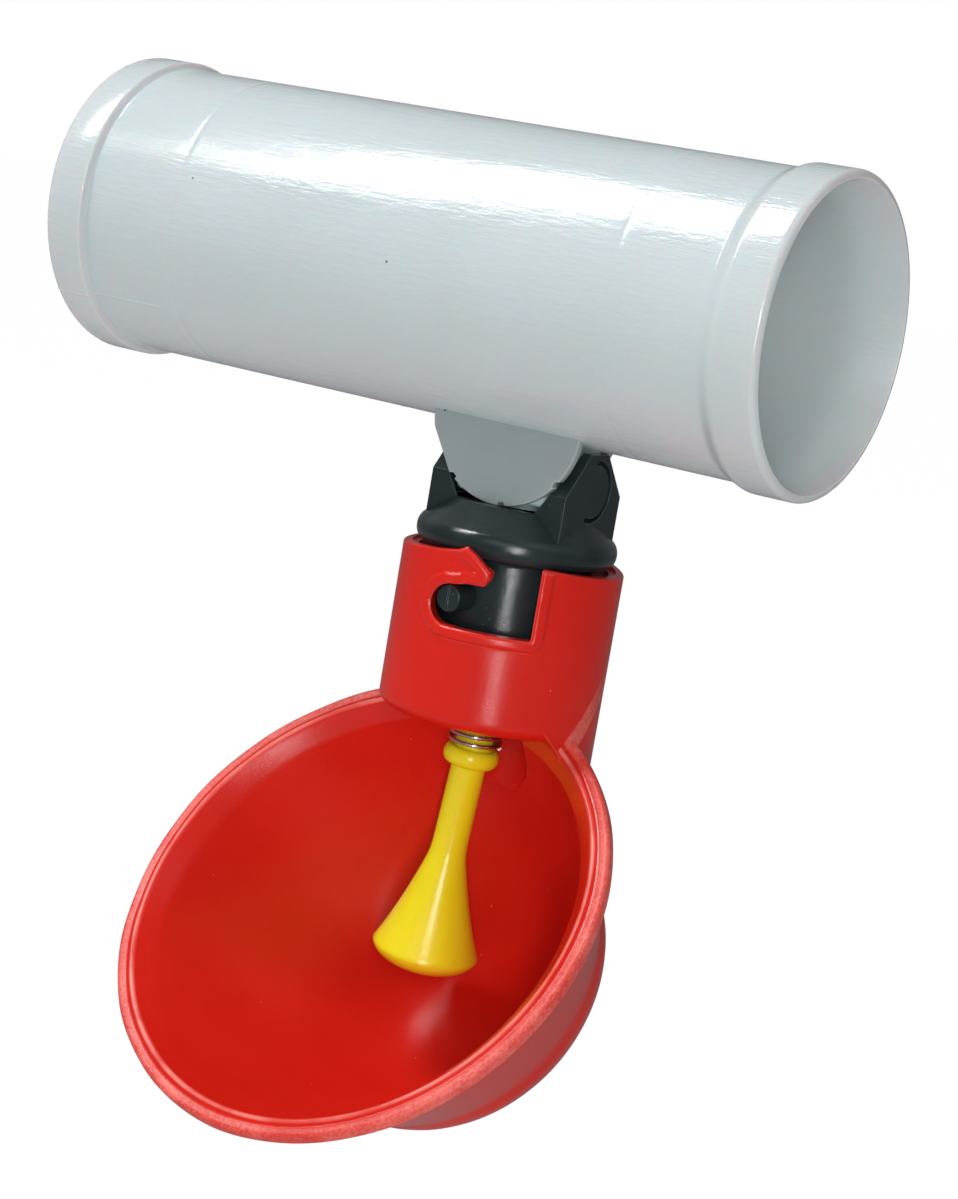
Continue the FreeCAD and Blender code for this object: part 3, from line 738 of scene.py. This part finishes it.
def bayonet_pin(side, material):
    """Pin with a rounded end and a thin mould line across it: the end dips by a bell curve of x."""
    turns = np.linspace(0, TURN, 144, endpoint=False)
    corner = np.linspace(0, math.pi / 2, 7)
    soft = 0.2
    radius = np.concatenate([[0], np.linspace(0.06, PIN_R - soft, 22),
                             PIN_R - soft + soft * np.sin(corner[1:]), [PIN_R, 0]])
    reach = np.concatenate([np.full(23, PIN_REACH), PIN_REACH - soft + soft * np.cos(corner[1:]),
                            [SPIGOT_R - 0.6, SPIGOT_R - 0.6]])
    x = radius[:, None] * np.cos(turns)
    z = PIN_Z + radius[:, None] * np.sin(turns)
    end = (reach > PIN_REACH - soft - 1e-6)[:, None]
    y = side * (reach[:, None] - end * PIN_LINE_DEPTH * ridge(x, 0, PIN_LINE_HALF))
    points = np.stack([x, y, z], -1).reshape(-1, 3)
    name = "bayonet_pin_" + ("rear" if side > 0 else "front")
    piece = make_object(name, points, grid_faces(len(radius), len(turns)))
    finish_piece(piece, material, "line_tee")


# ---- trigger and spring ---------------------------------------------------------------
def leaned(points):
    """Turn points about the Y line through the middle of the plug, so that the lower end goes to -X."""
    down = points - [0, 0, PLUG_Z]
    x = down[:, 0] * math.cos(TRIGGER_LEAN) + down[:, 2] * math.sin(TRIGGER_LEAN)
    z = down[:, 2] * math.cos(TRIGGER_LEAN) - down[:, 0] * math.sin(TRIGGER_LEAN)
    return np.stack([x, down[:, 1], z + PLUG_Z], -1)


def trigger(material):
    """Stem, spring bead and bell in one moulding.

    The bell's radius goes from the stem's to its widest as 0.82 s + 0.18 s^3 of the way s down, with a
    soft start, and its underside is a quarter of an ellipse. The bead's edge is half an ellipse.
    """
    upper = rounded([(0, -40, 0), (0, CAP_TOP, 0), (PIN_NECK_R, CAP_TOP, 0.2),
                     (PIN_NECK_R, PIN_NECK_BOTTOM, 0.1), (STEM_TOP_R, PIN_NECK_BOTTOM, 0.15),
                     (STEM_TOP_R, STEM_TOP_END, 0.4), (NECK_R, NECK_START, 0.4),
                     (NECK_R, BEAD_TOP, 0.2), (BEAD_R, BEAD_TOP, 0)], closed=False)
    swing = np.linspace(math.pi / 2, -math.pi / 2, 17)
    middle, half = (BEAD_TOP + BEAD_BOTTOM) / 2, (BEAD_TOP - BEAD_BOTTOM) / 2
    bead = np.stack([BEAD_R - 0.6 + 0.6 * np.cos(swing), middle + half * np.sin(swing)], -1)
    fillet = arc((STEM_R + 0.3, BEAD_BOTTOM - 0.3), 0.3, 90, 180, 6)
    down = np.linspace(-0.35, 1, 40)
    soft = (down + np.sqrt(down ** 2 + 0.006)) / 2
    flare = np.stack([STEM_R + (BELL_R - STEM_R) * (0.82 * soft + 0.18 * soft ** 3),
                      FLARE_START + (BELL_Z - FLARE_START) * down], -1)
    under = np.linspace(0, math.pi / 2, 18)[1:]
    bottom = np.stack([BELL_R * np.cos(under), BELL_Z + (BELL_BOTTOM - BELL_Z) * np.sin(under)], -1)
    bottom[-1, 0] = 0
    points, faces = turned(np.concatenate([upper, bead, fillet, flare, bottom]), count=160)
    piece = make_object("trigger_moulding", leaned(points), faces)
    finish_piece(piece, material, "trigger", ["trigger"], crease=50)


def return_spring(material):
    """Wire carried along a helix; its rise per turn changes smoothly, close at both ends.

    The wire's section is a circle on the helix's outward and crosswise directions. It is split where it
    comes out of the nose, so that its lower coils follow the trigger when that is rocked.
    """
    turns_up = np.arange(8)
    heights = np.array([0, 0.52, 1.45, 1.98, 3.6, 5.4, 7.2, 7.75])
    wind = np.linspace(0, turns_up[-1], 56 * turns_up[-1] + 1)
    z = SPRING_LOW + np.interp(wind, turns_up, heights)
    smooth = np.hanning(33)
    padded = np.concatenate([np.full(16, z[0]), z, np.full(16, z[-1])])
    z = np.convolve(padded, smooth / smooth.sum(), "valid")
    swing = wind * TURN + 0.6
    out = np.stack([np.cos(swing), np.sin(swing), np.zeros_like(swing)], -1)
    middle = SPRING_R * out + np.stack([np.zeros_like(z), np.zeros_like(z), z], -1)
    ahead = np.gradient(middle, axis=0)
    ahead /= np.linalg.norm(ahead, axis=1)[:, None]
    across = np.cross(ahead, out)
    ring = np.linspace(0, TURN, WIRE_SIDES, endpoint=False)[:, None]
    tube = middle[:, None] + WIRE_R * (np.cos(ring) * out[:, None] + np.sin(ring) * across[:, None])
    split = np.searchsorted(z, NOSE_BOTTOM)
    low_end, cut, top_end = [np.repeat(middle[i][None, None], WIRE_SIDES, 1) for i in (0, split, -1)]
    for name, rings, body, stands_for in (
            ("return_spring_lower", [low_end, tube[:split + 1], cut], "trigger", ()),
            ("return_spring_upper", [cut, tube[split:], top_end], "lift", ["return_spring"])):
        points = np.concatenate(rings)
        piece = make_object(name, leaned(points.reshape(-1, 3)), grid_faces(len(points), WIRE_SIDES))
        finish_piece(piece, material, body, stands_for, crease=60)
        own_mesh(piece)


# ---- cup ------------------------------------------------------------------------------
def slot_outline():
    """J-shaped bayonet slot: a round left end, a hook over the pin's seat and an open right arm."""
    end = arc((SLOT_END + SLOT_END_R, SLOT_TOP - SLOT_END_R), SLOT_END_R, 260, 90, 26)
    hook = rounded([(SLOT_END + SLOT_END_R, SLOT_TOP, 0), (-1.6, SLOT_TOP + 0.35, 1.0),
                    (0.05, -28.15, 0.45), (0.55, -26.95, 0.5), (-1.2, -25.5, 0.9), (-2.25, -24.9, 0.3),
                    (-2.5, COLLAR_TOP + 4, 0), (SLOT_RIGHT, COLLAR_TOP + 4, 0),
                    (SLOT_RIGHT, SLOT_BOTTOM, 0.25), (SLOT_END + 1.5 * SLOT_END_R, SLOT_BOTTOM, 0),
                    (SLOT_END, SLOT_BOTTOM, 0)], closed=False)
    return np.concatenate([end, hook])


def gap_to_outline(a, b, outline):
    """Distance from points to a closed outline, negative inside it.

    For every side of the outline it takes the nearest place on it; a point is inside where a ray from
    it crosses an odd number of sides.
    """
    start, end = outline, np.roll(outline, -1, axis=0)
    side = end - start
    da, db = a[..., None] - start[:, 0], b[..., None] - start[:, 1]
    share = np.clip((da * side[:, 0] + db * side[:, 1]) / (side ** 2).sum(1), 0, 1)
    gap = np.hypot(da - share * side[:, 0], db - share * side[:, 1]).min(-1)
    spans = (start[:, 1] > b[..., None]) != (end[:, 1] > b[..., None])
    rise = np.where(side[:, 1] == 0, 1e-9, side[:, 1])
    crossing = start[:, 0] + (b[..., None] - start[:, 1]) * side[:, 0] / rise
    inside = (spans & (a[..., None] < crossing)).sum(-1) % 2 == 1
    return np.where(inside, -gap, gap)


def slot_place(a, b, c, side):
    """Put a slot outline's point (a, b) at depth c in front of the axis (side 1) or behind it (-1)."""
    east, north = math.cos(SLOT_PULL), math.sin(SLOT_PULL)
    return (side * (a * east + c * north), side * (a * north - c * east), b)


def collar_plug():
    """Outside of the collar as one solid plug, with the raised frames of both bayonet slots.

    Height: the top edge climbs towards the tip of each hook by a line through a few heights. Radius:
    the collar's, plus a raised band round each slot that fades out over a short way, less a rounding
    where the slot's own edge begins.
    """
    swing = np.linspace(0, TURN, 520, endpoint=False)
    fine = np.arange(COLLAR_TOP - 0.3, -34.4, -0.15)
    bottom = arc((COLLAR_R - 1.2, COLLAR_BOTTOM + 1.2), 1.2, 0, -90, 12)
    top = arc((COLLAR_R - 0.22, COLLAR_TOP - 0.22), 0.22, 90, 0, 6)
    outline = np.concatenate([[(0, COLLAR_TOP), (8, COLLAR_TOP), (9.6, COLLAR_TOP)], top,
                              np.stack([np.full(len(fine), COLLAR_R), fine], -1),
                              [(COLLAR_R, -36.5), (COLLAR_R, -38.5), (COLLAR_R, COLLAR_BOTTOM + 1.4)],
                              bottom, [(0, COLLAR_BOTTOM)]])
    radius = outline[:, 0, None] * np.ones_like(swing)
    height = outline[:, 1, None] * np.ones_like(swing)
    x, y = radius * np.cos(swing), radius * np.sin(swing)
    slot = slot_outline()
    lift = np.zeros_like(radius)
    for side in (1, -1):
        across = side * (x * math.cos(SLOT_PULL) + y * math.sin(SLOT_PULL))
        ahead = side * (x * math.sin(SLOT_PULL) - y * math.cos(SLOT_PULL)) > 0
        climb = np.interp(across, (-10.7, -9.9, -7.5, -5.1, -3.2, -2.4, 0, 4.9, 6.0, 8.5, 10.7),
                          (0, 0.08, 0.42, 0.7, 1.05, 1.5, 1.5, 0.62, 0.55, 0.3, 0))
        height += ahead * climb * ease((outline[:, 1, None] + 29.5) / 3) * ease((radius - 8) / 1.5)
        gap = gap_to_outline(across, height, slot)
        band = FRAME_RISE * (1 - ease((gap - FRAME_WIDTH + 0.15) / 0.3))
        band -= 0.3 * (1 - np.sqrt(1 - np.clip(1 - gap / 0.3, 0, 1) ** 2))
        lift += ahead * band
    wall = (radius > COLLAR_R - 1e-3) & (height > -36)
    radius = radius + lift * wall
    points = np.stack([radius * np.cos(swing), radius * np.sin(swing), height], -1).reshape(-1, 3)
    return make_object("collar", points, grid_faces(len(outline), len(swing)))


def from_rim(points):
    """Take points from the rim's own frame (+Z out of the bowl) to their place under the valve."""
    tilt = Matrix.Rotation(CUP_FACING, 3, "Z") @ Matrix.Rotation(RIM_TILT, 3, "X")
    centre = Matrix.Rotation(CUP_FACING, 3, "Z") @ Vector((0, -RIM_REACH, RIM_Z))
    return points @ np.array(tilt).T + np.array(centre)


def lean_bowl(radius, height, swing):
    """Profile (radius, height) turned about the bowl's axis, then leaned and shifted as the bowl is."""
    y = radius[:, None] * np.sin(swing)
    z = height[:, None] * np.ones_like(swing)
    return np.stack([radius[:, None] * np.cos(swing),
                     y * math.cos(BOWL_LEAN) - z * math.sin(BOWL_LEAN) + BOWL_SHIFT,
                     y * math.sin(BOWL_LEAN) + z * math.cos(BOWL_LEAN)], -1)


def run_on(rows, level, count):
    """Swap the last row for others that run on along its straight lines and stop at a level."""
    knee, line = rows[-2], rows[-1] - rows[-2]
    reach = ((level - knee[:, 2]) / line[:, 2])[:, None]
    share = np.linspace(0, 1, count + 1)[1:, None, None]
    return np.concatenate([rows[:-1], knee + share * reach * line])


def bowl_rows(inset, top, swing):
    """Rows of points from the bowl's bottom up to a level under the rim, in the rim's frame.

    The dome is a quarter of an ellipse turned round the bowl's axis, and the flank runs on from it in
    straight lines.
    """
    knee_r = BOWL_R - BOWL_TAPER - inset
    drop = BOWL_DEPTH - inset - BOWL_KNEE
    low = np.linspace(0, math.pi / 2, 20)
    radius = np.append(knee_r * np.sin(low), knee_r + BOWL_TAPER)
    height = np.append(-BOWL_KNEE - drop * np.cos(low), 0)
    return run_on(lean_bowl(radius, height, swing), top, 8)


def lip_rows(swing):
    """Rows of points over the rolled lip: up the outside, a shallow groove, a ridge and a slope inwards.

    Three low waves round the rim keep it from being perfectly even.
    """
    inner = RIM_R - RIM_THICK
    outline = rounded([(RIM_R - 0.7, -RIM_HEIGHT, 0), (RIM_R, -RIM_HEIGHT, 0.3), (RIM_R, -0.05, 0.42),
                       (RIM_R - 1.05, -0.2, 0.5), (inner + 0.28, 0.03, 0.16), (inner - 0.1, -0.25, 0.3),
                       (inner - 0.55, -1.1, 0)], closed=False)
    wave = 0.05 * np.sin(3 * swing + 1) + 0.035 * np.sin(7 * swing) + 0.02 * np.sin(17 * swing + 2)
    radius = outline[:, 0, None] - 0.1 + wave
    height = outline[:, 1, None] - 0.07 + 0.6 * wave
    return np.stack([radius * np.cos(swing), radius * np.sin(swing), height], -1)


def inner_rows(swing):
    """Rows of points of the bowl's inside, from its bottom up to the lip, in the rim's frame.

    Profile: one conic arc from the level bottom into the flank's straight line, along the flank's own
    slope, so that no ring shows inside.
    """
    blend_top, fullness = -7.0, 1.3
    slope = BOWL_TAPER / BOWL_KNEE
    knee_r = BOWL_R - BOWL_TAPER - BOWL_WALL
    start = np.array([knee_r + slope * (BOWL_KNEE + blend_top), blend_top])
    low = BOWL_DEPTH - BOWL_WALL
    corner = np.array([knee_r - slope * (low - BOWL_KNEE), -low])
    end = np.array([0, -low])
    t = np.linspace(1, 0, 44)[:, None]
    near, middle, far = (1 - t) ** 2, 2 * fullness * t * (1 - t), t ** 2
    curve = (near * start + middle * corner + far * end) / (near + middle + far)
    radius, height = np.concatenate([curve, [[start[0] - slope * blend_top, 0]]]).T
    return run_on(lean_bowl(radius, height, swing), -RIM_HEIGHT, 6)


def cup_moulding(material):
    """Collar and bowl in one moulding: the collar's tube runs on down the back of the bowl."""
    swing = np.linspace(0, TURN, 360, endpoint=False)
    rows = np.concatenate([bowl_rows(0, -RIM_HEIGHT, swing), lip_rows(swing), inner_rows(swing)[::-1]])
    piece = make_object("cup_moulding", from_rim(rows.reshape(-1, 3)), grid_faces(len(rows), len(swing)))
    skirt = drum("skirt", COLLAR_R, RIM_Z, COLLAR_BOTTOM + 1.4, 256)
    rows = bowl_rows(BOWL_WALL / 2, 0, swing[::2])
    mouth = rows[-1] * [1, 1, 0] + [0, 0, 45]
    rows = np.concatenate([rows, [mouth], [mouth * [0, 0, 1]]])
    faces = grid_faces(len(rows), len(swing) // 2)
    carve(skirt, [make_object("cavity", from_rim(rows.reshape(-1, 3)), faces)])
    carve(piece, [skirt, collar_plug()], "UNION")
    slot = slot_outline()
    slots = [prism("slot", slot, COLLAR_INNER_R / 2, COLLAR_R + 3,
                   lambda a, b, c: slot_place(a, b, c, side)) for side in (1, -1)]
    room = np.array([(0, RIM_Z), (NOSE_HOLE_R, RIM_Z), (NOSE_HOLE_R, COLLAR_FLOOR),
                     (COLLAR_INNER_R, COLLAR_FLOOR), (COLLAR_INNER_R, COLLAR_TOP - 0.15),
                     (COLLAR_INNER_R + LEAD_IN, COLLAR_TOP - 0.13), (COLLAR_INNER_R + LEAD_IN, -20),
                     (0, -20)])
    carve(piece, [make_object("room", *turned(room, count=200))] + slots)
    finish_piece(piece, material, "cup", ["cup"], crease=40)


# ---- surroundings, in metres and degrees ----------------------------------------------
EYE = (0.134057, -0.223980, 0.010685)
EYE_HEADING = (31.48, 9.09)
EYE_ROLL = 9.61
LENS = 82.12
FLOOR_DROP = 0.06                   # clear space under the drinker


def heading(azimuth, elevation):
    """Direction from the drinker, in degrees: azimuth 0 is straight ahead and 90 to the right."""
    around, above = math.radians(azimuth), math.radians(elevation)
    return Vector((math.sin(around) * math.cos(above), -math.cos(around) * math.cos(above),
                   math.sin(above)))


def camera():
    """Camera near the height of the tee, ahead and to the right, rolled a little."""
    back = heading(*EYE_HEADING)
    right = Vector((0, 0, 1)).cross(back).normalized()
    level = Matrix((right, back.cross(right), back)).transposed()
    data = bpy.data.cameras.new("camera")
    data.lens = LENS
    data.clip_start, data.clip_end = 0.01, 20
    eye = add(bpy.data.objects.new("camera", data))
    eye.matrix_world = (level @ Matrix.Rotation(math.radians(EYE_ROLL), 3, "Z")).to_4x4()
    eye.location = EYE
    bpy.context.scene.camera = eye


def panel_lamp(name, width, height, level):
    """Flat lamp with sides in metres; the level is its brightness, whatever its size."""
    data = bpy.data.lights.new(name, "AREA")
    data.shape = "RECTANGLE"
    data.size, data.size_y = width, height
    data.energy = level * math.pi * width * height
    return add(bpy.data.objects.new(name, data))


def lamp(name, azimuth, elevation, distance, width, height, level, aim=(0, 0, -0.03)):
    """Panel lamp at a heading and a distance from the place that it aims at, in metres."""
    back = heading(azimuth, elevation)
    panel = panel_lamp(name, width, height, level)
    panel.matrix_world = back.to_track_quat("Z", "Y").to_matrix().to_4x4()
    panel.location = Vector(aim) + back * distance


def strip_lamp(name, start, end, width, level):
    """Panel lamp whose long way runs between two places in millimetres, turned to the tee."""
    start, end = Vector(start) * MM, Vector(end) * MM
    middle = (start + end) / 2
    along = (end - start).normalized()
    back = (middle - along * middle.dot(along)).normalized()
    panel = panel_lamp(name, (end - start).length, width * MM, level)
    panel.matrix_world = Matrix((along, back.cross(along), back)).transposed().to_4x4()
    panel.location = middle


def floor():
    """Plain pale floor under the hanging drinker: near white where looked at, dim as a reflection."""
    half = 4000.0
    points = np.array([(-half, -half, 0), (half, -half, 0), (half, half, 0), (-half, half, 0)])
    points[:, 2] = (CAD_LOW.z - FLOOR_DROP) / MM
    piece = make_object("floor", points, np.array([[0, 1, 2, 3]]))
    paint = Paint("floor_pale")
    paint.finish((0.85, 0.85, 0.85), 0.9)
    ray = paint.node("ShaderNodeLightPath").outputs
    share = paint.math("MAXIMUM", paint.math("MULTIPLY", ray["Is Camera Ray"], 0.9),
                       paint.math("MULTIPLY", ray["Is Glossy Ray"], 0.75))
    level = paint.math("ADD", ray["Is Camera Ray"], 0.08)
    glow = paint.feed(paint.node("ShaderNodeEmission"), Strength=level)
    mix = paint.node("ShaderNodeMixShader", share, paint.shader.outputs[0], glow.outputs[0])
    paint.feed(paint.tree.nodes["Material Output"], Surface=mix.outputs[0])
    piece.data.materials.append(paint.material)


def world():
    """Even pale surroundings: white where looked at, softer as light and softest as a reflection."""
    sky = bpy.data.worlds.new("surroundings")
    sky.use_nodes = True
    bpy.context.scene.world = sky
    nodes = Nodes(sky.node_tree)
    ray = nodes.node("ShaderNodeLightPath").outputs
    level = nodes.feed(nodes.node("ShaderNodeMapRange"), Value=ray["Is Glossy Ray"],
                       To_Min=0.26, To_Max=0.18).outputs[0]
    lit = nodes.feed(nodes.tree.nodes["Background"], Color=(0.93, 0.97, 1.0, 1), Strength=level)
    seen = nodes.math("MAXIMUM", ray["Is Camera Ray"], ray["Is Transmission Ray"])
    glow = nodes.node("ShaderNodeEmission")
    mix = nodes.node("ShaderNodeMixShader", seen, lit.outputs[0], glow.outputs[0])
    nodes.feed(nodes.tree.nodes["World Output"], Surface=mix.outputs[0])


def build():
    """All the pieces, their finishes, the lamps and the camera."""
    white, black, red = tee_white(), body_black(), cup_red()
    # painted shade: the cheek plates are the tee's own white plastic, darkened to grey for the shade under
    # the barrel
    shaded_white = tee_white("tee_white_shaded", (0.26, 0.30, 0.31), (0.31, 0.35, 0.36), 0.2)
    yellow, steel, rubber = trigger_yellow(), bright_steel(), seal_rubber()
    tee_barrel(white)
    cheek("tee_cheek_front", -1, CHEEK_R, shaded_white)
    cheek("tee_cheek_rear", 1, REAR_CHEEK_R, shaded_white)
    boss_core(white)
    valve_barrel(black)
    clip_block(black)
    bayonet_pin(-1, black)
    bayonet_pin(1, black)
    trigger(yellow)
    return_spring(steel)
    cup_moulding(red)
    for node, finish in (("nozzle_oring", rubber), ("valve_plug", rubber), ("stem_cap", steel)):
        mesh = frame["nodes"][node].data
        mesh.materials.clear()
        mesh.materials.append(finish)
    floor()
    world()
    # lamps: name, azimuth, elevation, distance, width, height, level
    lamp("front_soft", 12, 30, 0.8, 0.5, 0.4, 0.7)
    lamp("near_strip", 33, 6, 0.6, 0.024, 0.36, 60)
    lamp("right_soft", 70, 55, 0.35, 0.3, 0.3, 0.45, (0.04, 0, 0))
    # long lamps for the bright lines along the barrel: name, start, end, width, level
    strip_lamp("window", (-385, -345, 340), (-300, -200, 470), 60, 20)
    strip_lamp("window_high", (-310, -215, 455), (-248, -69, 541), 110, 34)
    camera()


build()
bpy.context.scene.view_settings.view_transform = "Standard"
bpy.context.view_layer.update()
